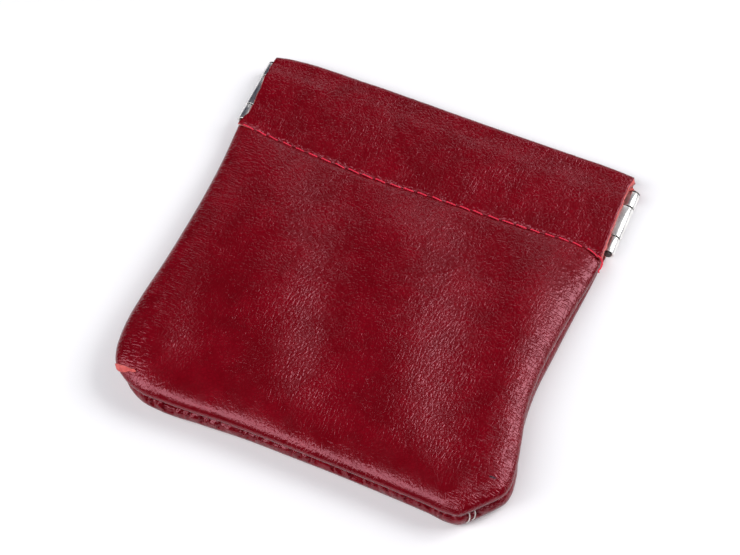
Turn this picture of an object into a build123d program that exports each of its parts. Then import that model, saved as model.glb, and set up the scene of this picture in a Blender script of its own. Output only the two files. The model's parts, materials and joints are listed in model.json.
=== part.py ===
"""Squeeze coin purse: a turned leather pouch whose mouth is held shut by an internal flex frame.

The frame is two spring strips with rolled knuckles at both ends, pinned together at the left and at the right.
Squeezing the two hinges towards each other bows the strips apart and opens the mouth.

Millimetres. X runs along the mouth, +Y points from the bottom seam to the mouth and +Z is up. The purse lies on
its back, with its lowest face at Z = 0 and the origin under the middle of its box.

A spring strip bends along its whole length. Here each strip, with the leather and the stitches round it, is two
rigid halves that turn about a line at mid length, so the four halves are a rhombus that closes exactly.
"""

import os

from build123d import *

# ---- Driving dimensions ----
purse_height = 84.8  # bottom edge to top fold
leather = 1.1  # outer leather
skived = 0.7  # leather turned in over the strip, pared thinner
frame_span = 80.0  # pin axis to pin axis
strip_width = 15.0
strip_thickness = 0.4
strip_play = 0.1  # between a strip and the leather on each side of it
pin_radius = 0.8
pin_play = 0.09  # radial, in the knuckle that turns on the pin
seat_play = 0.02  # radial, in the knuckles that hold the pin
knuckle_gap = 0.3  # between neighbouring knuckles
mouth_gap = 0.2  # between the two closed lips
casing_half_width = 38.5  # the casing stops short of the knuckles
casing_low_y = 20.2
leather_flex_gap = 0.45  # left out each side of a bending line
strip_flex_gap = 0.15
front_swing_gap = 2.0  # the front panel's upper edge moves 1.7 mm towards the casing as it swings
back_gap = 0.3
mouth_half_width = 39.6
waist_half_width = 38.4
waist_y = -7.0
hip_half_width = 41.2
hip_y = -32.5
corner_half_width = 34.8
hip_radius = 4.0
corner_radius = 5.0
belly_height = 8.3  # top of the front panel at its fullest
belly_y = -24.0
shoulder_height = 7.9
shoulder_y = -2.0
edge_height = 7.7  # top of the front panel along the bottom edge
part_z = 3.9  # height of the sewn seam round the pouch
part_gap = 0.2  # between the front and the back panel
rim_bend_y = -15.0  # the seam lies level below here, and falls to the mouth's mid-plane above it
seam_turn = 2.6  # outer leather and the seam allowance turned inside it
front_edge_radius = 2.4
back_edge_radius = 1.6
stitch_y = 21.1
stitch_pitch = 3.0
stitches_per_half = 13
stitch_length = 2.3
thread_width = 0.5
stitch_depth = 0.25  # how far a stitch is pulled into the leather
stitch_proud = 0.15  # how far a front stitch stands out of it
stitch_recess = 0.03  # how far a back stitch stays inside it
seam_stitch_z = 2.3
tack_low_z = 1.7
tack_length = 2.0
tack_spacing = 0.9
tack_inset = 0.45  # from the cut corner to the middle of the tack's thread
pin_head_radius = 1.2
pin_head_length = 0.5
pin_tail = 0.3  # how far a pin stands out of its lowest knuckle
overrun = 1.0  # how far a cutting profile runs past the leather it cuts

# ---- Worked out from them ----
top_y = purse_height / 2
bottom_y = -purse_height / 2
half_stack = mouth_gap / 2 + skived + 2 * strip_play + strip_thickness + leather
mid_z = half_stack
strip_offset = mouth_gap / 2 + skived + strip_play + strip_thickness / 2  # strip mid-plane to the mouth's mid-plane
knuckle_radius = strip_offset + strip_thickness / 2
hinge_x = frame_span / 2
strip_mid_y = 31.4
strip_low_y = strip_mid_y - strip_width / 2
strip_high_y = strip_mid_y + strip_width / 2
front_panel_top_y = casing_low_y - front_swing_gap
back_panel_top_y = casing_low_y - back_gap
plate_end_x = hinge_x - knuckle_radius - 0.3  # where a strip narrows to its knuckles

# The front strip has the middle knuckle and the back strip has one on each side of it.
middle_low_y = strip_low_y + 3.9
middle_high_y = strip_high_y - 3.7
front_knuckles = [(middle_low_y, middle_high_y)]
back_knuckles = [(strip_low_y, middle_low_y - knuckle_gap), (middle_high_y + knuckle_gap, strip_high_y)]

os.makedirs("parts", exist_ok=True)


def finish(part, node):
    """Label a finished piece and write its STEP file."""
    part.label = node
    export_step(part, f"parts/{node}.step")
    return part


def pouch_outline(upper_y, inset):
    """The pouch from above, from its bottom edge up to upper_y, with its sides and bottom moved in by inset."""
    with BuildSketch(Plane.XY) as outline:
        with BuildLine():
            side = ThreePointArc(
                (mouth_half_width, casing_low_y), (waist_half_width, waist_y), (hip_half_width, hip_y)
            )
            corner = Polyline(side @ 1, (corner_half_width, bottom_y), (0, bottom_y))
            Polyline(side @ 0, (0, casing_low_y), corner @ 1)
        make_face()
        mirror(about=Plane.YZ)
        fillet(outline.vertices().filter_by_position(Axis.Y, hip_y - 0.1, hip_y + 0.1), hip_radius)
        fillet(outline.vertices().filter_by_position(Axis.Y, bottom_y - 0.1, bottom_y + 0.1), corner_radius)
        if inset:
            offset(amount=-inset, mode=Mode.REPLACE)
            with Locations((0, casing_low_y)):
                Rectangle(2 * (mouth_half_width - inset), 4 * inset)
        with Locations((0, upper_y)):
            Rectangle(purse_height * 2, purse_height, align=(Align.CENTER, Align.MIN), mode=Mode.SUBTRACT)
    return outline.sketch


def side_band(lower_line, crown_drop):
    """A vertical slab over the whole width, from lower_line up to the crown of the front panel less crown_drop."""
    with BuildPart() as band:
        with BuildSketch(Plane.YZ):
            with BuildLine():
                crown = Spline(
                    (bottom_y - overrun, edge_height - crown_drop),
                    (belly_y, belly_height - crown_drop),
                    (shoulder_y, shoulder_height - crown_drop),
                    (casing_low_y + overrun, 2 * half_stack - crown_drop),
                )
                Polyline(crown @ 1, *lower_line, crown @ 0)
            make_face()
        extrude(amount=purse_height, both=True)
    return band.part


def pouch_hollow(upper_y, floor_z):
    """The space inside the pouch."""
    with BuildPart() as hollow:
        add(pouch_outline(upper_y, seam_turn))
        extrude(amount=belly_height + overrun)
        floor_line = [(casing_low_y + overrun, floor_z), (bottom_y - overrun, floor_z)]
        add(side_band(floor_line, leather), mode=Mode.INTERSECT)
    return hollow.part


# ---- Pouch panels: two shallow trays of turned leather, rim to rim ----
front_rim = [
    (casing_low_y + overrun, mid_z + mouth_gap / 2),
    (rim_bend_y, part_z + part_gap / 2),
    (bottom_y - overrun, part_z + part_gap / 2),
]
with BuildPart() as front_panel:
    add(pouch_outline(front_panel_top_y, 0))
    extrude(amount=belly_height + overrun)
    add(side_band(front_rim, 0), mode=Mode.INTERSECT)
    crown_face = front_panel.faces().sort_by(Axis.Z)[-1]
    rolled = crown_face.edges().filter_by(lambda edge: edge.center().Y < front_panel_top_y - overrun)
    fillet(rolled, front_edge_radius)
    add(pouch_hollow(top_y, -overrun), mode=Mode.SUBTRACT)
finish(front_panel.part, "front_panel")

back_rim = [(bottom_y - overrun, part_z - part_gap / 2), (rim_bend_y, part_z - part_gap / 2)]
with BuildPart() as back_panel:
    add(pouch_outline(back_panel_top_y, 0))
    extrude(amount=part_z)
    with BuildSketch(Plane.YZ):
        with BuildLine():
            mouth_y = casing_low_y + overrun
            Polyline(
                (bottom_y - overrun, 0), *back_rim, (mouth_y, mid_z - mouth_gap / 2), (mouth_y, 0), close=True
            )
        make_face()
    extrude(amount=purse_height, both=True, mode=Mode.INTERSECT)
    sole_edges = back_panel.faces().sort_by(Axis.Z)[0].edges()
    fillet(sole_edges.filter_by(lambda edge: edge.center().Y < back_panel_top_y - overrun), back_edge_radius)
    add(pouch_hollow(top_y, leather), mode=Mode.SUBTRACT)
finish(back_panel.part, "back_panel")

# ---- Seam thread: one stitch after another in the rim of the back panel, inside the turned seam ----
with BuildPart() as seam_thread:
    seam_line = pouch_outline(back_panel_top_y, seam_turn / 2).wires()[0]
    stitch_count = int(seam_line.length // stitch_pitch)
    for i in range(stitch_count):
        along = (i + 0.5) / stitch_count
        middle = seam_line.position_at(along)
        if middle.Y < back_panel_top_y - stitch_pitch:
            with BuildSketch(Plane((middle.X, middle.Y, seam_stitch_z), x_dir=seam_line.tangent_at(along))):
                SlotOverall(stitch_length, thread_width)
            extrude(amount=thread_width)
finish(seam_thread.part, "seam_thread")

# ---- Corner tack: two turns of thread that hold the turned corner at the lower right ----
cut_corner = Vector(hip_half_width - corner_half_width, hip_y - bottom_y).normalized()
cut_middle = Vector((hip_half_width + corner_half_width) / 2, (hip_y + bottom_y) / 2, tack_low_z)
tack_middle = cut_middle + cut_corner.rotate(Axis.Z, 90) * tack_inset
with BuildPart() as corner_tack:
    with BuildSketch(Plane(tack_middle, x_dir=cut_corner)):
        with GridLocations(tack_spacing, tack_spacing, 2, 1):
            Circle(thread_width / 2)
    extrude(amount=tack_length)
finish(corner_tack.part, "corner_tack")


# ---- Topstitches: one row through each casing, half a row to each side ----
def topstitch(side, low_z, height):
    """The stitches of half a row, height thick, with their lower faces at low_z."""
    with BuildPart() as row:
        with BuildSketch(Plane.XY.offset(low_z)):
            for i in range(stitches_per_half):
                with Locations((side * (i + 0.5) * stitch_pitch, stitch_y)):
                    SlotOverall(stitch_length, thread_width)
        extrude(amount=height)
    return row.part


# ---- Casings: leather folded in at the top over a spring strip, and sewn down below it ----
def casing(side, facing, needle_holes):
    """Half a casing. side is 1 on the right and -1 on the left; facing is 1 for the front and -1 for the back."""
    length = side * (casing_half_width - leather_flex_gap)
    depth = top_y - casing_low_y
    thickness = half_stack - mouth_gap / 2
    with BuildPart() as sleeve:
        with BuildSketch(Plane.YZ.offset(side * leather_flex_gap)) as section:
            with Locations(((top_y + casing_low_y) / 2, mid_z + facing * (mouth_gap + thickness) / 2)):
                Rectangle(depth, thickness)
            fillet(section.vertices().group_by(Axis.X)[-1], thickness / 2 - 0.05)
            with Locations((strip_mid_y, mid_z + facing * strip_offset)):
                SlotOverall(strip_width + 2.4, strip_thickness + 2 * strip_play, mode=Mode.SUBTRACT)
        extrude(amount=length)
        add(needle_holes, mode=Mode.SUBTRACT)
    return sleeve.part


# ---- Spring strips ----
def spring_strip(side, facing, knuckles, bore_radius):
    """Half a spring strip, with its end rolled round the pin."""
    with BuildPart() as strip:
        with BuildSketch(Plane.XY.offset(mid_z + facing * strip_offset - strip_thickness / 2)):
            with Locations((side * (plate_end_x + strip_flex_gap) / 2, strip_mid_y)):
                Rectangle(plate_end_x - strip_flex_gap, strip_width)
            for low, high in knuckles:
                with Locations((side * hinge_x / 2, (low + high) / 2)):
                    Rectangle(hinge_x - 2 * strip_flex_gap, high - low)
        extrude(amount=strip_thickness)
        for low, high in knuckles:
            with BuildSketch(Plane((side * hinge_x, low, mid_z), z_dir=(0, 1, 0))):
                Circle(knuckle_radius)
                Circle(bore_radius, mode=Mode.SUBTRACT)
            extrude(amount=high - low)
    return strip.part


def hinge_pin(side):
    """A headed pin through the three knuckles of one end."""
    with BuildPart() as pin:
        with BuildSketch(Plane((side * hinge_x, strip_low_y - pin_tail, mid_z), z_dir=(0, 1, 0))):
            Circle(pin_radius)
        extrude(amount=strip_width + pin_tail)
        with BuildSketch(Plane((side * hinge_x, strip_high_y, mid_z), z_dir=(0, 1, 0))):
            Circle(pin_head_radius)
        extrude(amount=pin_head_length)
        fillet(pin.faces().sort_by(Axis.Y)[-1].edges(), pin_tail)
    return pin.part


front_stitch_z = 2 * half_stack - stitch_depth
for name, side in (("left", -1), ("right", 1)):
    front_stitches = topstitch(side, front_stitch_z, stitch_depth + stitch_proud)
    front_holes = topstitch(side, front_stitch_z, leather)
    back_stitches = topstitch(side, stitch_recess, stitch_depth - stitch_recess)
    back_holes = topstitch(side, stitch_depth - leather, leather)
    finish(front_stitches, f"front_topstitch_{name}")
    finish(back_stitches, f"back_topstitch_{name}")
    finish(casing(side, 1, front_holes), f"front_casing_{name}")
    finish(casing(side, -1, back_holes), f"back_casing_{name}")
    finish(spring_strip(side, 1, front_knuckles, pin_radius + pin_play), f"front_strip_{name}")
    finish(spring_strip(side, -1, back_knuckles, pin_radius + seat_play), f"back_strip_{name}")
    finish(hinge_pin(side), f"hinge_pin_{name}")
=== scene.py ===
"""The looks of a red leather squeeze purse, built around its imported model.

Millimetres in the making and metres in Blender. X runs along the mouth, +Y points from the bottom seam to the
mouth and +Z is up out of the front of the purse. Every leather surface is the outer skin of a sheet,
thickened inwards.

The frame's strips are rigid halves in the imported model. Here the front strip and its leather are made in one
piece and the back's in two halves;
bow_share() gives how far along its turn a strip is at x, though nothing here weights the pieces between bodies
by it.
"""

import json
import math

import bmesh
import bpy
import numpy as np
from mathutils import Matrix, Vector


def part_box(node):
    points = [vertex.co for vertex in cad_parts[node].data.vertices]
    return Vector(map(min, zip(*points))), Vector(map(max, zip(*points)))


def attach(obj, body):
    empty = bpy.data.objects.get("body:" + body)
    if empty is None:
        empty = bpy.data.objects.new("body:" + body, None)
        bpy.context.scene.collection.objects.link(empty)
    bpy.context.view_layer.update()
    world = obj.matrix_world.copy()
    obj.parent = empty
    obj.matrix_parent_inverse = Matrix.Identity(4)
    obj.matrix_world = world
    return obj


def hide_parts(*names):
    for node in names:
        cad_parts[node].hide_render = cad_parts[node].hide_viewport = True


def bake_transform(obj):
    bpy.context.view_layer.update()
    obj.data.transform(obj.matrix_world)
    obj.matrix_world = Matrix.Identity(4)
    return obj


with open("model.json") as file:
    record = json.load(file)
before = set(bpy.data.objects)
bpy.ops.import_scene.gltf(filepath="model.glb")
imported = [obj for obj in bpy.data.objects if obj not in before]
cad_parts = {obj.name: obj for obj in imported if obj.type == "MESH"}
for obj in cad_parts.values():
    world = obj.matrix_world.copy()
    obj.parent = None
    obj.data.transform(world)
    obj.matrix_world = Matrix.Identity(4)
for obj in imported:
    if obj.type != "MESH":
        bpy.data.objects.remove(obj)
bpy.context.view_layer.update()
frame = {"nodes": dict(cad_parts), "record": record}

MM = 0.001


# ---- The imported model's places and joints, in millimetres and radians ----
def node_box(node):
    """A CAD node's lowest and highest corners."""
    low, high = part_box(node)
    return np.array(low) / MM, np.array(high) / MM


def joint(name):
    """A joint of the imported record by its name."""
    return next(j for j in frame["record"]["behaviour"]["joints"] if j["name"] == name)


PIN_X = joint("left_hinge")["pos_m"][0] / -MM
PIN_Z = joint("left_hinge")["pos_m"][2] / MM
MID_Z = PIN_Z  # the middle of the mouth
STRIP_LOW_Y = node_box("back_strip_right")[0][1]
STRIP_HIGH_Y = node_box("back_strip_right")[1][1]
STRIP_MIDDLE_LOW = STRIP_LOW_Y + 3.9  # the front strip's knuckles lie between these two,
STRIP_MIDDLE_HIGH = STRIP_HIGH_Y - 3.7  # and the back strip's below and above them
KNUCKLE_GAP = 0.15  # half the gap between two knuckles on one pin
KNUCKLE_RADIUS = node_box("back_strip_right")[1][0] - PIN_X
STRIP_THICKNESS = 0.4
STRIP_REACH = 38.4  # where a strip stops bending and turns with its knuckles

LEATHER = 1.0  # thickness of the pouch's leather
CASING_LEATHER = 0.75
CASING_REACH = 39.2  # how far out from the middle a casing's sections are taken
CASING_FACE_Z = 2.5  # outer face of a casing, from the middle of the mouth
LIP_GAP = 0.12  # inner face of a casing, from the middle of the mouth
LAMP_DISTANCE = 0.9  # metres
TABLE_PLAY = 0.02  # between the back leather and the table
THREAD_RADIUS = 0.16  # of the topstitch and the seam thread
STITCH_PITCH = 3.0
STITCH_LENGTH = 2.55
LAST_HOLE_X = 39.4  # of the topstitch

# ---- Shape of the purse ----
# Outlines from the left end of the topstitch, down the left side, round the bottom and up the right side.
FRONT_OUTLINE = [
    (-40.1, 21.9), (-39.3, 12.0), (-38.9, 2.0), (-38.9, -7.0), (-39.2, -15.0), (-39.8, -23.0),
    (-40.0, -29.0), (-39.7, -33.0), (-38.9, -36.7), (-37.9, -38.8), (-36.4, -40.2), (-33.9, -41.7),
    (-30.5, -42.7), (-25.0, -42.8), (-12.0, -42.2), (2.0, -42.2), (16.0, -42.4), (28.0, -42.7),
    (33.0, -42.9), (35.2, -42.5), (36.3, -41.5), (38.5, -38.9), (40.6, -36.4), (41.4, -35.2), (41.8, -33.6),
    (41.5, -29.5), (40.2, -23.5), (38.7, -17.0), (38.1, -9.0), (38.3, 0.0), (38.9, 9.0), (39.6, 16.5),
    (39.7, 21.0),
]
BACK_OUTLINE = [
    (-39.2, 21.6), (-39.0, 12.0), (-38.8, 2.0), (-38.7, -7.0), (-39.0, -15.0), (-39.6, -23.0),
    (-39.7, -29.0), (-38.9, -34.0), (-37.0, -38.0), (-34.2, -40.9), (-30.7, -42.7), (-26.5, -43.2),
    (-18.5, -42.8), (-10.0, -42.3), (0.0, -42.2), (10.0, -42.2), (20.0, -42.4), (29.0, -42.7),
    (33.6, -43.0), (35.4, -42.6), (36.6, -41.6), (38.9, -38.9), (41.0, -36.3), (41.8, -35.0), (42.1, -33.3),
    (41.7, -29.6), (40.2, -24.5), (38.8, -17.5), (38.3, -11.5), (38.6, -2.0), (39.1, 8.4), (39.6, 17.0),
    (39.7, 21.0),
]
LEFT_CORNER = (-36.6, -39.6)  # the middles of the two cut corners, where the side rows meet the bottom rows
RIGHT_CORNER = (39.0, -38.4)
# The topstitch and the fold at the mouth, as (x, y).
STITCH_LINE = [
    (-42.0, 22.0), (-39.4, 21.8), (-33.0, 21.2), (-20.0, 20.5), (-8.0, 20.3), (2.0, 20.8), (14.0, 21.2),
    (26.0, 21.7), (34.0, 22.1), (37.0, 21.8), (39.7, 20.9), (42.0, 20.6),
]
FOLD_LINE = [
    (-42.0, 39.7), (-39.5, 40.5), (-36.5, 41.2), (-32.0, 41.7), (-20.0, 42.0), (0.0, 42.1), (20.0, 42.2),
    (34.0, 42.35), (38.0, 42.2), (42.0, 41.9),
]
# The casings' cut ends, as (y, x), and the front's height above the table down its middle, as (y, z).
LEFT_END = [
    (18.0, -40.0), (21.8, -40.1), (23.2, -39.6), (24.6, -39.1), (26.5, -39.0), (31.0, -39.4), (36.0, -39.8),
    (39.0, -39.8), (41.5, -39.5),
]
RIGHT_END = [(18.0, 39.4), (21.0, 39.4), (25.0, 39.3), (30.0, 39.0), (36.0, 38.8), (38.6, 38.6), (41.0, 38.9)]
CROWN = [(-42.4, 7.75), (-30.0, 8.15), (-15.0, 8.0), (-2.0, 7.35), (9.0, 6.4), (16.0, 5.6), (20.5, 5.05)]

SIDE_ROWS = 110
BOTTOM_ROWS = 300
ROLL_ROWS = 9
TUCK_ROWS = 10
CASING_COLUMNS = 190
OUTER_ROWS = 46  # of a casing: outer face, turned fold and inner face
FOLD_ROWS = 17
INNER_ROWS = 26
HEADING_BLUR = 46  # samples over which an outline's heading is averaged
RELAX_STEPS = 300  # rounds of averaging that spread a panel's points evenly


def through(points, at):
    """A smooth curve through (place, value) points, read at the given places."""
    places, values = np.array(points, float).T
    slopes = np.gradient(values, places)
    at = np.clip(at, places[0], places[-1])
    i = np.clip(np.searchsorted(places, at) - 1, 0, len(places) - 2)
    span = places[i + 1] - places[i]
    t = (at - places[i]) / span
    from_left = (2 * t**3 - 3 * t**2 + 1) * values[i] + (t**3 - 2 * t**2 + t) * span * slopes[i]
    return from_left + (3 * t**2 - 2 * t**3) * values[i + 1] + (t**3 - t**2) * span * slopes[i + 1]


def travelled(path):
    """How far along a path each of its points lies."""
    return np.concatenate([[0], np.cumsum(np.linalg.norm(np.diff(path, axis=0), axis=1))])


def headings(path):
    """Unit vectors along a path."""
    heading = np.gradient(path, axis=0)
    return heading / np.linalg.norm(heading, axis=1)[:, None]


def smooth_path(points, samples=3000):
    """Evenly spaced points on the smooth path through points."""
    points = np.array(points, float)
    chords = travelled(points)
    fine = np.linspace(0, chords[-1], samples * 2)
    path = np.stack([through(np.stack([chords, points[:, k]], 1), fine) for k in range(points.shape[1])], 1)
    travel = travelled(path)
    even = np.linspace(0, travel[-1], samples)
    return np.stack([np.interp(even, travel, path[:, k]) for k in range(path.shape[1])], 1)


def blur(values, width):
    """Values along a row, averaged with a bell of the given width in samples."""
    reach = int(3 * width) + 1
    bell = np.exp(-0.5 * (np.arange(-reach, reach + 1) / width) ** 2)
    padded = np.concatenate([np.repeat(values[:1], reach), values, np.repeat(values[-1:], reach)])
    return np.convolve(padded, bell / bell.sum(), mode="valid")


def ease(t):
    """0 below 0, 1 above 1, smooth between."""
    t = np.clip(t, 0, 1)
    return t * t * (3 - 2 * t)


def soft_noise(x, y, cell, seed):
    """Smooth noise from -1 to 1 with features about cell wide."""
    table = np.random.default_rng(seed).uniform(-1, 1, (64, 64))
    gx, gy = np.asarray(x) / cell + 32.0, np.asarray(y) / cell + 32.0
    ix, iy = np.floor(gx).astype(int), np.floor(gy).astype(int)
    fx, fy = ease(gx - ix), ease(gy - iy)
    a, b = table[iy % 64, ix % 64], table[iy % 64, (ix + 1) % 64]
    c, d = table[(iy + 1) % 64, ix % 64], table[(iy + 1) % 64, (ix + 1) % 64]
    return (a * (1 - fx) + b * fx) * (1 - fy) + (c * (1 - fx) + d * fx) * fy


def seam_z(y):
    """Height of the sewn seam round the pouch."""
    return 3.9 - 1.3 * ease((y + 18) / 38)


def dents(x, y):
    """The soft hollows and ridges of the front, in millimetres of height."""
    ridge = 7.0 - 0.32 * y
    strength = ease((24 - y) / 16) * ease((y + 42) / 16) * ease((40 - np.abs(x)) / 12)
    wave_height, wave_length = 0.68, 28.0
    waves = wave_height * np.cos(2 * math.pi * (x - ridge) / wave_length) * strength
    slack = 0.16 * soft_noise(x, y, 11.0, 4) + 0.07 * soft_noise(x + 0.4 * y, y - 0.3 * x, 5.0, 9)
    corner = 0.35 * np.exp(-(((x + 31) / 5) ** 2) - ((y + 31) / 8) ** 2)
    return waves + slack * strength + corner


def stitch_puckers(x, y, seed):
    """Small upright folds that the topstitch draws into the leather on both sides of it."""
    away = np.abs(y - through(STITCH_LINE, x))
    folds = soft_noise(x + 0.15 * y, 0 * y + 0.5, 1.7, seed)
    folds = folds + 0.6 * soft_noise(x - 0.2 * y, y * 0.2, 0.9, seed + 1)
    return 0.085 * folds * np.exp(-away / 4.5) * ease(away / 0.6)


def stitch_groove(x, y):
    """How deep the topstitch pulls the leather in."""
    away = y - through(STITCH_LINE, x)
    return 0.30 * np.exp(-((away / 0.75) ** 2))


# ---- Meshes ----
def make_object(name, points, faces, materials, face_materials=None):
    """A smooth-shaded mesh object from points in millimetres."""
    mesh = bpy.data.meshes.new(name)
    mesh.from_pydata((np.asarray(points, float) * MM).tolist(), [], [tuple(int(i) for i in f) for f in faces])
    mesh.update()
    for surface in materials:
        mesh.materials.append(surface)
    mesh.polygons.foreach_set("use_smooth", [True] * len(mesh.polygons))
    if face_materials is not None:
        mesh.polygons.foreach_set("material_index", face_materials)
    obj = bpy.data.objects.new(name, mesh)
    bpy.context.scene.collection.objects.link(obj)
    return obj


def grid_faces(index):
    """Quads over a table of point numbers."""
    a, b, c, d = index[:-1, :-1], index[:-1, 1:], index[1:, 1:], index[1:, :-1]
    return np.stack([a, b, c, d], -1).reshape(-1, 4)


def together(pieces):
    """The points and faces of several pieces as those of one."""
    points, faces, count = [], [], 0
    for piece_points, piece_faces in pieces:
        points.append(piece_points)
        faces += [[i + count for i in f] for f in piece_faces]
        count += len(piece_points)
    return np.concatenate(points), faces


def table_faces(table):
    """Quads over a table of points."""
    return grid_faces(np.arange(table.shape[0] * table.shape[1]).reshape(table.shape[:2]))


def keep_modifiers(obj):
    """Turn an object's modifiers into its mesh."""
    bpy.context.view_layer.update()
    evaluated = obj.evaluated_get(bpy.context.evaluated_depsgraph_get())
    mesh = bpy.data.meshes.new_from_object(evaluated)
    obj.modifiers.clear()
    old, obj.data = obj.data, mesh
    bpy.data.meshes.remove(old)
    return obj


def thicken(obj, thickness):
    """Give a sheet its thickness inwards. The new face and the cut edges take the second material."""
    solid = obj.modifiers.new("thickness", "SOLIDIFY")
    solid.thickness = thickness * MM
    solid.offset = -1
    solid.material_offset = 1
    solid.material_offset_rim = 1
    return keep_modifiers(obj)


def places(obj):
    """An object's points in millimetres."""
    flat = np.empty(len(obj.data.vertices) * 3)
    obj.data.vertices.foreach_get("co", flat)
    return flat.reshape(-1, 3) / MM


def remember_rest(obj):
    """Store each point's place at rest, so that a surface pattern stays on the leather as it bends."""
    attribute = obj.data.attributes.new("rest_place", "FLOAT_VECTOR", "POINT")
    attribute.data.foreach_set("vector", places(obj).ravel())


def halves(obj):
    """Split an object at the middle of the mouth. Gives each half, its rest stored, with its label."""
    points = places(obj)
    result = []
    for side, label in ((-1, "left"), (1, "right")):
        faces, numbers = [], []
        for face in obj.data.polygons:
            if side * points[list(face.vertices), 0].mean() > 0:
                faces.append(list(face.vertices))
                numbers.append(face.material_index)
        used = sorted(set(i for f in faces for i in f))
        place = {old: new for new, old in enumerate(used)}
        faces = [[place[i] for i in f] for f in faces]
        half = make_object(f"{obj.name}_{label}", points[used], faces, list(obj.data.materials), numbers)
        remember_rest(half)
        result.append((half, label))
    bpy.data.objects.remove(obj)
    return result


# ---- The pieces on the joints, baked in place, and how far a strip turns ----
def bow_share(x):
    """How far along its turn a strip is at x: 0 at mid length and 1 from its knuckles on."""
    t = np.clip(np.abs(x) / STRIP_REACH, 0, 1)
    return 1.25 * t - 0.25 * t**3


def follow_front_strip(obj):
    """A piece on the front strip, across its left half, right half and the bow between them. Only its transform
    is baked here.
    """
    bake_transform(obj)
    x = places(obj)[:, 0]


def follow_back_strip(obj):
    """A piece on half of the back strip."""
    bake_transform(obj)
    bow_share(places(obj)[:, 0])


def follow_front_leather(obj):
    """The leather between the bottom seam and the front topstitch."""
    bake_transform(obj)
    x, y, z = places(obj).T


def follow_back_leather(obj):
    """Half of the leather between the bottom seam and the back topstitch."""
    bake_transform(obj)
    x, y, _ = places(obj).T


# ---- Materials ----
class Nodes:
    """A material's node tree, with short calls for the nodes used here."""

    def __init__(self, name, coordinates="rest"):
        self.material = bpy.data.materials.new(name)
        self.material.use_nodes = True
        self.tree = self.material.node_tree
        self.shader = self.tree.nodes["Principled BSDF"]
        if coordinates == "rest":
            place = self.add("ShaderNodeAttribute", attribute_name="rest_place")
            self.place = place.outputs["Vector"]
        else:
            scale = self.add("ShaderNodeVectorMath", operation="SCALE")
            self.link(self.add("ShaderNodeTexCoord").outputs["Object"], scale.inputs[0])
            scale.inputs["Scale"].default_value = 1 / MM
            self.place = scale.outputs["Vector"]

    def add(self, kind, **settings):
        """A new node with the given settings."""
        node = self.tree.nodes.new(kind)
        for key, value in settings.items():
            setattr(node, key, value)
        return node

    def link(self, source, target):
        self.tree.links.new(source, target)

    def put(self, value, socket):
        """Link an output or set a plain value."""
        if isinstance(value, bpy.types.NodeSocket):
            self.link(value, socket)
        else:
            socket.default_value = value

    def math(self, operation, a, b=0.0):
        """The result of a sum or the like."""
        node = self.add("ShaderNodeMath", operation=operation)
        for value, socket in zip((a, b), node.inputs):
            self.put(value, socket)
        return node.outputs[0]

    def mapped(self, place, scale, degrees, location=(0, 0, 0), kind="POINT"):
        """Coordinates moved, turned about Z and scaled."""
        node = self.add("ShaderNodeMapping", vector_type=kind)
        self.link(place, node.inputs["Vector"])
        node.inputs["Location"].default_value = location
        node.inputs["Rotation"].default_value = (0, 0, math.radians(degrees))
        node.inputs["Scale"].default_value = scale
        return node.outputs["Vector"]

    def stretched(self, x, y, z):
        """The places at rest, each axis times its own factor."""
        node = self.add("ShaderNodeVectorMath", operation="MULTIPLY")
        self.link(self.place, node.inputs[0])
        node.inputs[1].default_value = (x, y, z)
        return node.outputs["Vector"]

    def noise(self, scale, detail=3.0, roughness=0.5, place=None, distortion=0.0):
        node = self.add("ShaderNodeTexNoise")
        self.link(place or self.place, node.inputs["Vector"])
        node.inputs["Scale"].default_value = scale
        node.inputs["Detail"].default_value = detail
        node.inputs["Roughness"].default_value = roughness
        node.inputs["Distortion"].default_value = distortion
        return node

    def warped(self, place, scale, amount):
        """Coordinates pushed about by noise."""
        push = self.add("ShaderNodeVectorMath", operation="SUBTRACT")
        self.link(self.noise(scale, 2.0, place=place).outputs["Color"], push.inputs[0])
        push.inputs[1].default_value = (0.5, 0.5, 0.5)
        add = self.add("ShaderNodeVectorMath", operation="MULTIPLY_ADD")
        self.link(push.outputs["Vector"], add.inputs[0])
        add.inputs[1].default_value = (amount, amount, amount)
        self.link(place, add.inputs[2])
        return add.outputs["Vector"]

    def cells(self, scale, place):
        """Distance to the edges of random cells."""
        node = self.add("ShaderNodeTexVoronoi", feature="DISTANCE_TO_EDGE")
        self.link(place, node.inputs["Vector"])
        node.inputs["Scale"].default_value = scale
        return node.outputs["Distance"]

    def between(self, value, low, high, to_low=0.0, to_high=1.0):
        """A value eased from low..high to to_low..to_high."""
        node = self.add("ShaderNodeMapRange", interpolation_type="SMOOTHSTEP")
        self.put(value, node.inputs["Value"])
        for name, number in zip(("From Min", "From Max", "To Min", "To Max"), (low, high, to_low, to_high)):
            self.put(number, node.inputs[name])
        return node.outputs["Result"]

    def mix(self, share, a, b):
        """Two colours mixed, with the given share of the second."""
        node = self.add("ShaderNodeMix", data_type="RGBA")
        for value, socket in zip((share, a, b), (node.inputs[0], node.inputs[6], node.inputs[7])):
            self.put((*value, 1) if isinstance(value, tuple) and len(value) == 3 else value, socket)
        return node.outputs[2]

    def bump(self, height, depth_mm, normal=None):
        """A normal from a height, on top of another normal if one is given."""
        node = self.add("ShaderNodeBump")
        node.inputs["Distance"].default_value = depth_mm * MM
        self.link(height, node.inputs["Height"])
        if normal is not None:
            self.link(normal, node.inputs["Normal"])
        return node.outputs["Normal"]


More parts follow.
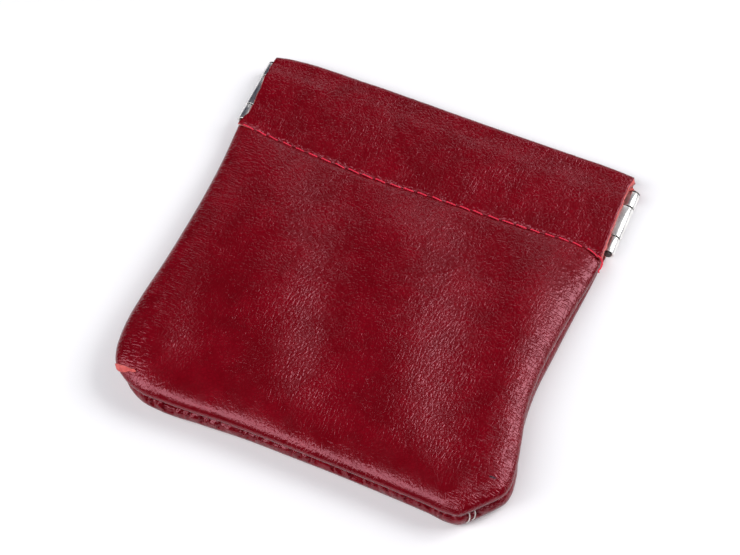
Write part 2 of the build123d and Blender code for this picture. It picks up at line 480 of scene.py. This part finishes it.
def grain_normal(n, flow, pebble):
    """The leather's relief. The pebble fades where the leather is stretched, at its sides and bottom seam."""
    fine = n.between(n.cells(3.4, n.warped(flow, 2.0, 0.3)), 0.0, 0.30)
    slanted = n.mapped(flow, (1.5, 0.5, 1.0), 18)
    creases = n.between(n.cells(0.95, n.warped(slanted, 0.8, 0.8)), 0.0, 0.20)
    where = n.between(n.noise(0.075, 3.0, 0.6).outputs["Fac"], 0.40, 0.60)
    creased = n.math("ADD", n.math("MULTIPLY", creases, where), n.math("SUBTRACT", 1.0, where))
    axes = n.add("ShaderNodeSeparateXYZ")
    n.link(n.place, axes.inputs[0])
    at_side = n.between(n.math("ABSOLUTE", axes.outputs["X"]), 29.0, 35.0)
    below_mouth = n.between(axes.outputs["Y"], 21.5, 17.0)
    side_roll = n.math("MULTIPLY", at_side, below_mouth)
    side_stretch = n.math("MULTIPLY", side_roll, 0.55)
    bottom_stretch = n.between(axes.outputs["Y"], -31.0, -37.5, 0.0, 0.72)
    stretched = n.math("MAXIMUM", side_stretch, bottom_stretch)
    grain = n.math("ADD", n.math("MULTIPLY", pebble, 0.62), n.math("MULTIPLY", fine, 0.08))
    grain = n.math("MULTIPLY", grain, n.math("SUBTRACT", 1.0, stretched))
    normal = n.bump(grain, 0.066)
    normal = n.bump(creased, 0.030, normal)
    drawn = n.between(n.cells(1.0, n.warped(n.stretched(0.42, 1.75, 1.0), 0.7, 0.5)), 0.0, 0.30)
    normal = n.bump(n.math("MULTIPLY", side_roll, n.math("SUBTRACT", drawn, 1.0)), 0.045, normal)
    return n.bump(n.noise(0.42, 2.0, 0.5).outputs["Fac"], 0.08, normal)


def tone_and_painted_shade(n, pebble):
    """The leather's colour: slightly cloudy and speckled, with painted shade between the pebbles and in a small
    nick near the lower right corner.
    """
    cloudy = n.between(n.noise(0.11, 5.0, 0.62, distortion=0.4).outputs["Fac"], 0.32, 0.70)
    leather_tone = n.mix(cloudy, (0.138, 0.0004, 0.0032), (0.205, 0.0009, 0.0065))
    speckle = n.between(n.noise(2.6, 4.0, 0.7).outputs["Fac"], 0.38, 0.66)
    leather_tone = n.mix(n.math("MULTIPLY", speckle, 0.35), leather_tone, (0.125, 0.0003, 0.0028))
    # Painted shade: the colour darkens between the pebbles, in the crevices of the grain.
    leather_tone = n.mix(n.math("MULTIPLY", n.math("SUBTRACT", 1.0, pebble), 0.35), leather_tone, (0.10, 0.0002, 0.0022))
    # A small nick near the lower right corner: its dark inside is painted shade, a flat ellipse mixed to near
    # black.
    nick = n.mapped(n.place, (0.70, 0.20, 3.0), 8, (38.3, -33.7, 7.6), "TEXTURE")
    length = n.add("ShaderNodeVectorMath", operation="LENGTH")
    n.link(nick, length.inputs[0])
    return n.mix(n.between(length.outputs["Value"], 1.25, 0.8), leather_tone, (0.014, 0.012, 0.016))


def red_leather():
    """The grain side: deep red, waxed, with a fine pebble, drawn creases, a slightly cloudy dyed colour and
    painted shade between the pebbles.
    """
    n = Nodes("red_leather")
    flow = n.warped(n.place, 0.09, 2.2)
    pebble = n.between(n.cells(1.3, n.warped(flow, 1.1, 0.5)), 0.0, 0.34)
    n.link(grain_normal(n, flow, pebble), n.shader.inputs["Normal"])
    n.link(tone_and_painted_shade(n, pebble), n.shader.inputs["Base Color"])
    rough = n.between(n.noise(0.35, 4.0, 0.65).outputs["Fac"], 0.3, 0.7, 0.19, 0.27)
    n.link(rough, n.shader.inputs["Roughness"])
    n.shader.inputs["Specular IOR Level"].default_value = 0.72
    n.shader.inputs["Specular Tint"].default_value = (1.0, 0.42, 0.52, 1)
    return n.material


def coral_flesh():
    """The flesh side and the cut edges: a fibrous, dusty coral."""
    n = Nodes("coral_flesh")
    fibres = n.noise(3.2, 6.0, 0.75, place=n.stretched(1.0, 0.6, 1.6), distortion=1.2).outputs["Fac"]
    patches = n.noise(0.5, 3.0, 0.6).outputs["Fac"]
    colour = n.mix(n.between(fibres, 0.35, 0.65), (0.52, 0.045, 0.045), (0.86, 0.16, 0.14))
    colour = n.mix(n.between(patches, 0.40, 0.75, 0.0, 0.5), colour, (0.45, 0.018, 0.026))
    n.link(colour, n.shader.inputs["Base Color"])
    n.shader.inputs["Roughness"].default_value = 0.85
    n.shader.inputs["Sheen Weight"].default_value = 0.25
    n.link(n.bump(fibres, 0.12), n.shader.inputs["Normal"])
    return n.material


def thread(name, dark, light, roughness):
    """Twisted sewing thread with fine fibres along it."""
    n = Nodes(name)
    fibres = n.noise(7.0, 4.0, 0.7, place=n.stretched(0.5, 1.4, 1.4)).outputs["Fac"]
    n.link(n.mix(n.between(fibres, 0.32, 0.68), dark, light), n.shader.inputs["Base Color"])
    n.shader.inputs["Roughness"].default_value = roughness
    n.shader.inputs["Sheen Weight"].default_value = 0.1
    n.link(n.bump(fibres, 0.03), n.shader.inputs["Normal"])
    return n.material


def plated_metal(name, colour, smooth, scratched, coordinates="rest"):
    """Bright plate over steel, with hairline scratches and a faint bloom."""
    n = Nodes(name, coordinates)
    hairs = n.noise(2.4, 5.0, 0.7, place=n.stretched(3.0, 0.25, 3.0)).outputs["Fac"]
    bloom = n.noise(0.6, 4.0, 0.6).outputs["Fac"]
    dull = tuple(c * 0.72 for c in colour)
    n.link(n.mix(n.between(bloom, 0.42, 0.75), colour, dull), n.shader.inputs["Base Color"])
    n.shader.inputs["Metallic"].default_value = 1.0
    n.link(n.between(hairs, 0.3, 0.7, smooth, scratched), n.shader.inputs["Roughness"])
    n.link(n.bump(hairs, 0.012), n.shader.inputs["Normal"])
    return n.material


LEATHER_SKIN = red_leather()
FLESH = coral_flesh()
TOP_THREAD = thread("crimson_thread", (0.66, 0.002, 0.026), (0.98, 0.012, 0.075), 0.6)
SEAM_THREAD = thread("dark_red_thread", (0.22, 0.003, 0.012), (0.42, 0.008, 0.03), 0.6)
TACK_THREAD = thread("off_white_thread", (0.50, 0.46, 0.44), (0.90, 0.87, 0.84), 0.55)
PLATE = plated_metal("bright_plate", (0.93, 0.92, 0.89), 0.26, 0.40)
PIN_METAL = plated_metal("pin_wire", (0.09, 0.085, 0.08), 0.30, 0.45, "object")


# ---- Pouch leather: a panel, its rolled edge and the seam allowance ----
class Pouch:
    """Points and faces of one pouch panel. The front's crown faces up and the back's faces the table."""

    def __init__(self, outline, crown, edge, shoulder, roll, tuck):
        path = smooth_path(outline)
        travel = np.linspace(0, 1, len(path))
        corner = [travel[np.argmin(np.hypot(*(path - c).T))] for c in (LEFT_CORNER, RIGHT_CORNER)]
        self.along = np.concatenate([
            np.linspace(0, corner[0], SIDE_ROWS + 1)[:-1],
            np.linspace(corner[0], corner[1], BOTTOM_ROWS + 1)[:-1],
            np.linspace(corner[1], 1, SIDE_ROWS + 1),
        ])
        rim = np.stack([np.interp(self.along, travel, path[:, k]) for k in (0, 1)], 1)
        heading = np.gradient(path, axis=0)
        inward = np.stack([blur(-heading[:, 1], HEADING_BLUR), blur(heading[:, 0], HEADING_BLUR)], 1)
        inward = np.stack([np.interp(self.along, travel, inward[:, k]) for k in (0, 1)], 1)
        self.inward = inward / np.linalg.norm(inward, axis=1)[:, None]
        self.rim, self.path = rim, path
        self.crown, self.edge, self.shoulder, self.roll, self.tuck = crown, edge, shoulder, roll, tuck
        self.build()

    def ring(self, inset):
        """The outline moved inwards, with its ends kept on the topstitch line."""
        points = self.rim + self.inward * np.asarray(inset).reshape(-1, 1)
        for end, near in ((0, slice(0, SIDE_ROWS)), (-1, slice(len(points) - SIDE_ROWS, len(points)))):
            slip = through(STITCH_LINE, points[end, 0]) - points[end, 1]
            count = np.arange(SIDE_ROWS)
            share = (1 - count / SIDE_ROWS) if end == 0 else (count + 1) / SIDE_ROWS
            points[near, 1] += slip * share**2
        return points

    def height(self, x, y, inset):
        """Height of the outer face above the roll's outermost line, by the shoulder's curve."""
        edge = self.edge(y)
        t = np.clip(inset / self.shoulder, 0, 1)
        rounded = (1 - (1 - t) ** 2.2) ** (1 / 2.2)
        return edge + (self.crown(x, y) - edge) * rounded

    def build(self):
        """The crown as one patch inside the outline, then the rings of the roll round it."""
        inner = self.ring(self.roll)
        left, bottom = inner[: SIDE_ROWS + 1][::-1], inner[SIDE_ROWS : SIDE_ROWS + BOTTOM_ROWS + 1]
        right = inner[SIDE_ROWS + BOTTOM_ROWS :]
        u, v = np.meshgrid(np.linspace(0, 1, BOTTOM_ROWS + 1), np.linspace(0, 1, SIDE_ROWS + 1))
        top_x = inner[0, 0] + (inner[-1, 0] - inner[0, 0]) * u[0]
        top = np.stack([top_x, through(STITCH_LINE, top_x)], 1)
        u, v = u[..., None], v[..., None]
        patch = (1 - u) * left[:, None] + u * right[:, None] + (1 - v) * bottom[None] + v * top[None]
        patch -= (1 - u) * ((1 - v) * left[0] + v * left[-1]) + u * ((1 - v) * right[0] + v * right[-1])
        for _ in range(RELAX_STEPS):
            patch[1:-1, 1:-1] = (patch[:-2, 1:-1] + patch[2:, 1:-1] + patch[1:-1, :-2] + patch[1:-1, 2:]) / 4
        x, y = patch[..., 0], patch[..., 1]
        inset = np.empty(x.shape)
        for row in range(len(x)):
            gaps = np.hypot(x[row][:, None] - self.path[::6, 0], y[row][:, None] - self.path[::6, 1])
            inset[row] = gaps.min(axis=1)
        z = self.height(x, y, inset)
        points = [np.stack([x, y, z], -1).reshape(-1, 3)]
        number = np.arange(x.size).reshape(x.shape)
        loops = [np.concatenate([number[::-1, 0], number[0, 1:-1], number[:, -1]])]
        count = x.size
        for ring in self.roll_rings():
            points.append(ring)
            loops.append(np.arange(count, count + len(ring)))
            count += len(ring)
        self.points = np.concatenate(points)
        self.faces = np.concatenate([grid_faces(number), grid_faces(np.array(loops)[::-1])])

    def groove(self):
        """How far in from the outline the seam lies."""
        return self.tuck * (1 - 0.45 * ease((self.rim[:, 1] + 6) / 26))

    def roll_rings(self):
        """Rings from the top of the roll, out round it and in again to the seam, then along the allowance."""
        rings = []
        for step in np.linspace(0, 1, ROLL_ROWS + 1)[1:]:
            inset = self.roll * (1 - math.sin(step * math.pi / 2))
            points = self.ring(inset)
            rings.append(np.column_stack([points, self.height(*points.T, inset)]))
        depth = self.groove()
        edge, seam = self.edge(self.rim[:, 1]), seam_z(self.rim[:, 1])
        for step in np.linspace(0, 1, TUCK_ROWS + 1)[1:]:
            turn = step * math.pi / 2
            points = self.ring(depth * (1 - math.cos(turn)))
            rings.append(np.column_stack([points, edge + (seam - edge) * math.sin(turn)]))
        for reach in (0.9, 1.9):
            rings.append(np.column_stack([self.ring(depth + reach), seam]))
        return rings


def front_crown(x, y):
    """The front's upper face away from its edges."""
    base = through(CROWN, y) + 0.12 * ease((np.abs(x) - 18) / 14)
    return base + dents(x, y) + stitch_puckers(x, y, 21) - stitch_groove(x, y)


def front_edge(y):
    """Height of the outermost line of the front's roll."""
    return seam_z(y) + 1.65 - 0.75 * ease((y + 10) / 30)


def back_crown(x, y):
    """The back's lower face: flat on the table, and drawn in along its topstitch."""
    return TABLE_PLAY + 0.8 * stitch_groove(x, y)


def back_edge(y):
    """Height of the outermost line of the back's roll."""
    return seam_z(y) - 1.75 + 0.75 * ease((y + 10) / 30)


def gathers(points, rim, inward, strength, seed):
    """Short upright folds where the bottom seam draws the leather in."""
    x, y, _ = points.T
    away_x = np.abs(x[:, None] - rim[None, ::2, 0])
    away_y = np.abs(y[:, None] - rim[None, ::2, 1])
    near = np.argmin(away_x + away_y, axis=1) * 2
    along = near * 80.0 / BOTTOM_ROWS  # millimetres along the bottom seam, which is about 80 long
    row = 0 * along + 0.5
    folds = 0.9 * soft_noise(along, row, 0.62, seed) + 0.5 * soft_noise(along, row + 3, 1.3, seed)
    folds += 0.3 * soft_noise(along, row + 7, 4.0, seed)
    shift = folds * ease((-35 - y) / 5) * strength
    moved = points.copy()
    moved[:, :2] -= inward[near] * 0.5 * shift[:, None]
    moved[:, 2] += shift
    return moved


def front_panel():
    """The front leather below its topstitch."""
    pouch = Pouch(FRONT_OUTLINE, front_crown, front_edge, shoulder=8.5, roll=3.0, tuck=1.5)
    points = pouch.points
    tucked = ease((front_edge(points[:, 1]) + 0.1 - points[:, 2]) / 1.2)
    points = gathers(points, pouch.rim, pouch.inward, -0.18 * tucked, 31)
    panel = make_object("front_leather_panel", points, pouch.faces, [LEATHER_SKIN, FLESH])
    thicken(panel, LEATHER)
    remember_rest(panel)
    follow_front_leather(panel)
    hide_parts("front_panel")


def back_panel():
    """The back leather below its topstitch in two halves, and the stitches of the seam."""
    pouch = Pouch(BACK_OUTLINE, back_crown, back_edge, shoulder=4.5, roll=2.8, tuck=1.35)
    points = pouch.points
    tucked = ease((points[:, 2] - back_edge(points[:, 1]) - 0.15) / 0.9)
    points = gathers(points, pouch.rim, pouch.inward, 0.50 * tucked, 47)
    pressed = ease((3 - points[:, 0]) / 6) * ease((points[:, 0] + 31) / 5) * ease((-38 - points[:, 1]) / 2)
    points[:, 2] += 0.30 * pressed * np.exp(-(((points[:, 2] - 3.1) / 0.28) ** 2))
    panel = make_object("back_leather_panel", points, pouch.faces[:, ::-1], [LEATHER_SKIN, FLESH])
    thicken(panel, LEATHER)
    for half, label in halves(panel):
        follow_back_leather(half)
        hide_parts("back_panel")
    seam_stitches(pouch)


# ---- Casings: leather over the spring strips, folded in at the top ----
def casing_section(x, facing):
    """The outer skin of a casing at column x, from the topstitch up, over the fold and down inside."""
    low_y, high_y = through(STITCH_LINE, x), through(FOLD_LINE, x)
    face, lip = CASING_FACE_Z, LIP_GAP
    fold_reach = 1.3
    outer_y = low_y + (high_y - fold_reach - low_y) * np.linspace(0, 1, OUTER_ROWS) ** 1.15
    # The face puffs up from the topstitch to y 37 and falls away towards the fold from y 35.
    puff = 0.24 * np.sin(math.pi * np.clip((outer_y - low_y) / (37 - low_y), 0, 1)) ** 0.7
    fall = 0.42 * ease((outer_y - 35.0) / (high_y - fold_reach - 35.0))
    outer_z = face + puff - fall
    turn = np.linspace(0, math.pi, FOLD_ROWS)[1:-1]
    middle, radius = (outer_z[-1] + lip) / 2, (outer_z[-1] - lip) / 2
    fold_y, fold_z = high_y - fold_reach + fold_reach * np.sin(turn), middle + radius * np.cos(turn)
    inner_y = np.linspace(high_y - fold_reach, low_y - 2.3, INNER_ROWS)
    inner_z = np.full(INNER_ROWS, lip)
    y = np.concatenate([outer_y, fold_y, inner_y])
    z = np.concatenate([outer_z, fold_z, inner_z])
    outside = np.concatenate([np.ones(OUTER_ROWS), 0.5 + 0.5 * np.cos(turn), np.zeros(INNER_ROWS)])
    columns = np.full(y.shape, x)
    relief = 0.10 * soft_noise(columns, y, 5.5, 60 + facing)
    relief += 0.05 * soft_noise(columns * 1.6, y * 0.7, 1.7, 70 + facing)
    relief = relief * ease((y - low_y) / 3) + stitch_puckers(columns, y, 21) - stitch_groove(columns, y)
    z = z + outside * relief - 0.25 * (1 - outside) * stitch_groove(columns, y)
    z = np.maximum(z, lip)
    if facing < 0:
        z = np.minimum(z, face - TABLE_PLAY)
    return y, z, outside


def casing(facing):
    """The leather of one casing over the whole width."""
    rows = []
    for share in np.linspace(-1, 1, CASING_COLUMNS + 1):
        y, z, outside = casing_section(share * CASING_REACH, facing)
        left, right = through(LEFT_END, y), through(RIGHT_END, y)
        fray = 0.10 * soft_noise(y, 0 * y + 0.5, 0.7, 80 + facing)
        fray = fray + 0.05 * soft_noise(y, 0 * y + 4.5, 0.25, 81)
        reach = np.minimum(np.where(share < 0, -left, right) + fray, STRIP_REACH + 4 * outside)
        x = share * reach
        rows.append(np.stack([x, y, MID_Z + facing * z], -1))
    table = np.array(rows)
    faces = table_faces(table)[:, ::-facing]
    name = "front_leather_casing" if facing > 0 else "back_leather_casing"
    sheet = make_object(name, table.reshape(-1, 3), faces, [LEATHER_SKIN, FLESH])
    return show_raw_ends(thicken(sheet, CASING_LEATHER), *table.shape[:2])


def show_raw_ends(sheet, columns, rows):
    """Let the flesh side stand out past the grain side at the cut ends of a casing, with loose fibres."""
    points = places(sheet)
    for column, side in ((0, -1), (columns - 1, 1)):
        grain = column * rows + np.arange(rows)
        flesh = grain + columns * rows
        y = points[grain, 1]
        covered = ease((np.abs(points[grain, 2] - MID_Z) - 0.8) / 0.8)
        fibres = 0.5 + 0.5 * soft_noise(y, 0 * y + 0.5, 0.33, 85 + side)
        torn = 0.75 * np.exp(-(((y - 40.6) / 0.8) ** 2)) * (side > 0)
        points[flesh, 0] += side * covered * (0.10 + 0.30 * fibres + torn * fibres)
    sheet.data.vertices.foreach_set("co", (points * MM).ravel())
    return sheet


def casings():
    """The front casing in one piece and the back casing in two halves."""
    front = casing(1)
    remember_rest(front)
    follow_front_strip(front)
    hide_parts("front_casing_left", "front_casing_right")
    for half, label in halves(casing(-1)):
        follow_back_strip(half)
        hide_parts(f"back_casing_{label}")


# ---- Spring strips ----
def ribbon(path, low_y, high_y, thickness):
    """Points and faces of a strip of metal that follows a path in XZ."""
    path = np.asarray(path, float)
    heading = headings(path)
    across = np.stack([-heading[:, 1], heading[:, 0]], 1) * thickness / 2
    rows = []
    for y, sign in ((low_y, -1), (high_y, -1), (high_y, 1), (low_y, 1)):
        edge = path + sign * across
        rows.append(np.stack([edge[:, 0], np.full(len(path), y), edge[:, 1]], 1))
    points = np.concatenate(rows)
    index = np.arange(len(points)).reshape(4, len(path))
    faces = grid_faces(np.concatenate([index, index[:1]])).tolist()
    faces += [index[:, 0][::-1].tolist(), index[:, -1].tolist()]
    return points, faces


def rolled_end(side, facing):
    """The path of a strip's rolled end, round the pin and short of closing."""
    radius = KNUCKLE_RADIUS - STRIP_THICKNESS / 2
    turns = np.radians(90 - np.linspace(0, 318, 40))
    curl_x = PIN_X + radius * np.cos(turns)
    curl_z = PIN_Z + facing * radius * np.sin(turns)
    lead_x = np.linspace(STRIP_REACH - 0.6, PIN_X, 5)[:-1]
    lead_z = 0 * lead_x + PIN_Z + facing * radius
    path = np.stack([np.concatenate([lead_x, curl_x]), np.concatenate([lead_z, curl_z])], 1)
    return path * (side, 1)


def strip(name, facing, from_x, to_x, knuckles):
    """A spring strip from from_x to to_x, with its rolled ends at (side, low, high)."""
    strip_z = PIN_Z + facing * (KNUCKLE_RADIUS - STRIP_THICKNESS / 2)
    columns = np.linspace(from_x, to_x, 80)
    blade = np.stack([columns, np.full(columns.shape, strip_z)], 1)
    pieces = [ribbon(blade, STRIP_LOW_Y, STRIP_HIGH_Y, STRIP_THICKNESS)]
    for side, low, high in knuckles:
        pieces.append(ribbon(rolled_end(side, facing), low, high, STRIP_THICKNESS))
    obj = make_object(name, *together(pieces), [PLATE])
    bevel = obj.modifiers.new("edges", "BEVEL")
    bevel.width = 0.07 * MM
    bevel.segments = 2
    bevel.limit_method = "ANGLE"
    bevel.angle_limit = math.radians(50)
    keep_modifiers(obj)
    fix_normals(obj)
    remember_rest(obj)
    return obj


def fix_normals(obj):
    """Turn every closed island's faces outwards."""
    mesh = bmesh.new()
    mesh.from_mesh(obj.data)
    bmesh.ops.recalc_face_normals(mesh, faces=mesh.faces)
    mesh.to_mesh(obj.data)
    mesh.free()


def strips():
    """The front strip in one piece and the back strip in two halves."""
    middle = [(side, STRIP_MIDDLE_LOW, STRIP_MIDDLE_HIGH) for side in (-1, 1)]
    front = strip("front_strip", 1, -STRIP_REACH, STRIP_REACH, middle)
    follow_front_strip(front)
    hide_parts("front_strip_left", "front_strip_right")
    for label, side in (("left", -1), ("right", 1)):
        lower = (side, STRIP_LOW_Y, STRIP_MIDDLE_LOW - 2 * KNUCKLE_GAP)
        upper = (side, STRIP_MIDDLE_HIGH + 2 * KNUCKLE_GAP, STRIP_HIGH_Y)
        ends = sorted((0, side * STRIP_REACH))
        back = strip(f"back_strip_{label}_bow", -1, *ends, (lower, upper))
        follow_back_strip(back)
        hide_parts(f"back_strip_{label}")


# ---- Thread ----
def twisted(path, radius, pitch, plies=2, sides=7, start=0.0):
    """Points and faces of plies of thread twisted round a path."""
    path = np.asarray(path, float)
    heading = headings(path)
    up = np.array([0.05, 0.1, 1.0])
    side = np.cross(heading, up)
    side /= np.linalg.norm(side, axis=1)[:, None]
    lift = np.cross(side, heading)
    travel = travelled(path)
    points, faces, count = [], [], 0
    ply_radius = radius * 0.58
    for ply in range(plies):
        turn = start + 2 * math.pi * (travel / pitch + ply / plies)
        centre = path + (radius - ply_radius) * (np.cos(turn)[:, None] * side + np.sin(turn)[:, None] * lift)
        round_it = np.linspace(0, 2 * math.pi, sides, endpoint=False)
        taper = np.ones(len(path))
        taper[0] = taper[-1] = 0.35
        ring = (
            centre[:, None]
            + np.cos(round_it)[None, :, None] * side[:, None] * ply_radius * taper[:, None, None]
            + np.sin(round_it)[None, :, None] * lift[:, None] * ply_radius * taper[:, None, None]
        )
        index = np.arange(ring.shape[0] * sides).reshape(-1, sides) + count
        closed = np.concatenate([index, index[:, :1]], 1)
        faces += grid_faces(closed)[:, ::-1].tolist() + [index[0].tolist(), index[-1][::-1].tolist()]
        points.append(ring.reshape(-1, 3))
        count += ring.shape[0] * sides
    return np.concatenate(points), faces


def join_pieces(name, pieces, surface):
    """One object from several closed islands, all facing outwards."""
    obj = make_object(name, *together(pieces), [surface])
    fix_normals(obj)
    return obj


def stitch_path(x0, x1, rise, tilt):
    """One stitch: out of its hole, along the skin and into the next hole. Heights are from the skin."""
    down = 0.45  # how deep the thread goes into a hole
    t = np.linspace(0, 1, 15)
    x = x0 + (x1 - x0) * t
    y = through(STITCH_LINE, x) + tilt * (t - 0.5)
    arch = np.clip(np.sin(math.pi * t) * 2.6, 0, 1)
    return np.stack([x, y, rise * arch - down * (1 - arch)], 1)


def topstitch(facing, inside):
    """All the stitches of one face of a casing. Behind, they stay just clear of the table."""
    random = np.random.default_rng(90 + facing + 5 * inside)
    pieces = []
    if inside:
        skin, outward, rise = LIP_GAP + THREAD_RADIUS, -facing, 0.0
    else:
        skin, outward, rise = CASING_FACE_Z - THREAD_RADIUS, facing, 0.04 if facing > 0 else -0.04
    for i in range(-13, 13):
        x0 = (i + 0.5 * inside) * STITCH_PITCH + random.uniform(-0.18, 0.18)
        x1 = x0 + STITCH_LENGTH + random.uniform(-0.25, 0.2)
        tilt = random.uniform(-0.45, -0.1)
        path = stitch_path(x0, min(x1, LAST_HOLE_X), rise, tilt)
        path[:, 2] = MID_Z + facing * skin + outward * path[:, 2]
        pieces.append(twisted(path, THREAD_RADIUS, 0.95, start=random.uniform(0, 6)))
    return pieces


def topstitches():
    """The front topstitch with its loose end, and the back topstitch in two halves."""
    pieces = topstitch(1, 0) + topstitch(1, 1)
    pieces.append(twisted(thread_end(), 0.18, 0.9))
    front = join_pieces("front_topstitch_thread", pieces, TOP_THREAD)
    remember_rest(front)
    follow_front_strip(front)
    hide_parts("front_topstitch_left", "front_topstitch_right")
    back = join_pieces("back_topstitch_thread", topstitch(-1, 0) + topstitch(-1, 1), TOP_THREAD)
    for half, label in halves(back):
        follow_back_strip(half)
        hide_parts(f"back_topstitch_{label}")


def thread_end():
    """The topstitch's last turn, over the edge at the right and a short way down the side."""
    bends = [
        (38.6, 21.3, 4.75), (39.5, 20.9, 4.9), (40.1, 20.2, 4.4),
        (40.15, 19.2, 4.15), (40.0, 18.3, 4.5), (40.3, 17.6, 4.9),
    ]
    return smooth_path(bends, 40)


def corner_tack():
    """Off-white thread over the seam at the cut corner on the right."""
    pieces = []
    for shift in (0.0, 0.75):
        bends = np.array([
            (36.0, -40.2, 4.2), (36.75, -40.9, 3.8), (36.9, -41.35, 3.0),
            (36.6, -41.75, 2.2), (36.0, -41.1, 1.9),
        ])
        bends[:, :2] += (shift, shift * 1.15)
        bends[1:4, 2] += 0.25 * shift
        pieces.append(twisted(smooth_path(bends, 34), 0.14, 0.6))
    tack = join_pieces("corner_tack_thread", pieces, TACK_THREAD)
    remember_rest(tack)
    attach(tack, "pouch")
    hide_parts("corner_tack")


def raw_corner():
    """A small flap cut into the front leather at its lower left corner, with its raw side showing."""
    upper = [
        (-37.6, -38.95, 5.8), (-36.6, -39.15, 6.5), (-35.3, -39.35, 7.0), (-34.0, -39.55, 7.4),
        (-32.8, -39.75, 7.5),
    ]
    lower = [
        (-36.9, -39.7, 5.4), (-36.1, -40.15, 5.7), (-35.1, -40.2, 6.25), (-33.9, -40.0, 7.0),
        (-32.8, -39.8, 7.45),
    ]
    rows = []
    for share in np.linspace(0, 1, 9):
        line = smooth_path(np.array(upper) * (1 - share) + np.array(lower) * share, 25)
        line[:, 2] += 0.06 * np.sin(np.linspace(0, 16, 25)) * math.sin(math.pi * share)
        rows.append(line)
    table = np.array(rows)
    patch = make_object("raw_corner_flap", table.reshape(-1, 3), table_faces(table), [FLESH, FLESH])
    thicken(patch, 0.45)
    fix_normals(patch)
    remember_rest(patch)
    follow_front_leather(patch)


def seam_stitches(pouch):
    """The stitches that close the pouch, in the groove between its two rolls."""
    random = np.random.default_rng(12)
    line = pouch.ring(pouch.groove() - 0.12)
    samples = 1600
    line = smooth_path(np.column_stack([line, seam_z(line[:, 1])])[::8], samples)
    travel = np.linspace(0, 1, samples)
    stitches, length = 62, 0.0128  # the length is a share of the whole seam
    pieces = []
    for start in np.linspace(0.02, 0.98, stitches + 1)[:-1]:
        at = np.linspace(start, start + length + random.uniform(-0.001, 0.001), 12)
        path = np.stack([np.interp(at, travel, line[:, k]) for k in range(3)], 1)
        pieces.append(twisted(path, THREAD_RADIUS, 0.8, start=random.uniform(0, 6)))
    thread_piece = join_pieces("seam_stitches", pieces, SEAM_THREAD)
    for half, label in halves(thread_piece):
        follow_back_leather(half)
        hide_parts("seam_thread")


def kept_nodes():
    """The CAD nodes that stay as they are get their finish here."""
    for name in ("hinge_pin_left", "hinge_pin_right"):
        node = frame["nodes"][name]
        node.data.materials.clear()
        node.data.materials.append(PIN_METAL)


# ---- Studio ----
def aim(obj, place, target):
    """Put an object at a place in metres, looking at the target."""
    obj.location = place
    obj.rotation_euler = (Vector(target) - Vector(place)).to_track_quat("-Z", "Y").to_euler()


def softbox(name, direction, width, height, watts):
    """A white rectangular light, aimed at the middle of the purse. Sizes are in metres."""
    light = bpy.data.lights.new(name, "AREA")
    light.shape = "RECTANGLE"
    light.size, light.size_y = width, height
    light.energy = watts
    lamp = bpy.data.objects.new(name, light)
    bpy.context.scene.collection.objects.link(lamp)
    aim(lamp, Vector(direction).normalized() * LAMP_DISTANCE, (0, 0, 0))


def studio():
    """A plain white table, a faint blue world and five soft lights."""
    n = Nodes("white_table", "object")
    n.shader.inputs["Base Color"].default_value = (0.93, 0.925, 0.94, 1)
    n.shader.inputs["Roughness"].default_value = 0.6
    n.link(n.bump(n.noise(0.8, 3.0).outputs["Fac"], 0.01), n.shader.inputs["Normal"])
    half = 1600  # of the table's side
    corners = [(-half, -half, 0), (half, -half, 0), (half, half, 0), (-half, half, 0)]
    table = make_object("table", corners, [(0, 1, 2, 3)], [n.material])
    world = bpy.data.worlds.new("studio")
    bpy.context.scene.world = world
    world.use_nodes = True
    world.node_tree.nodes["Background"].inputs["Color"].default_value = (0.52, 0.55, 1.0, 1)
    world.node_tree.nodes["Background"].inputs["Strength"].default_value = 0.05
    softbox("right_back", (0.62, 0.46, 0.64), 0.60, 0.50, 6.2)
    softbox("ceiling", (0.21, 0.45, 0.87), 0.30, 0.40, 0.36)
    softbox("back", (-0.20, 0.86, 0.47), 0.70, 0.14, 0.7)
    softbox("front_overhead", (-0.10, -0.50, 0.86), 0.90, 0.32, 4.4)
    softbox("front_left", (-0.66, -0.50, 0.56), 0.50, 0.50, 3.4)
    bpy.context.scene.view_settings.view_transform = "Standard"
    bpy.context.scene.view_settings.look = "None"


def photo_camera():
    """The photograph's view: its height, its turn round the purse and its slight roll."""
    elevation, azimuth, roll = (math.radians(a) for a in (59.21, 23.15, 0.28))
    flat = math.cos(elevation)
    back = Vector((math.sin(azimuth) * flat, -math.cos(azimuth) * flat, math.sin(elevation)))
    right = Vector((math.cos(azimuth), math.sin(azimuth), 0))
    up = back.cross(right)
    rolled_right = right * math.cos(roll) + up * math.sin(roll)
    rolled_up = up * math.cos(roll) - right * math.sin(roll)
    data = bpy.data.cameras.new("photo_camera")
    data.lens = 123.2
    data.sensor_width = 36
    data.clip_start, data.clip_end = 0.02, 10
    camera = bpy.data.objects.new("photo_camera", data)
    bpy.context.scene.collection.objects.link(camera)
    target = Vector((-0.89, -0.88, 4.0)) * MM
    distance = 0.5
    turn = Matrix((rolled_right, rolled_up, back)).transposed().to_4x4()
    camera.matrix_world = Matrix.Translation(target + back * distance) @ turn
    bpy.context.scene.camera = camera


front_panel()
back_panel()
casings()
strips()
topstitches()
corner_tack()
raw_corner()
kept_nodes()
studio()
photo_camera()
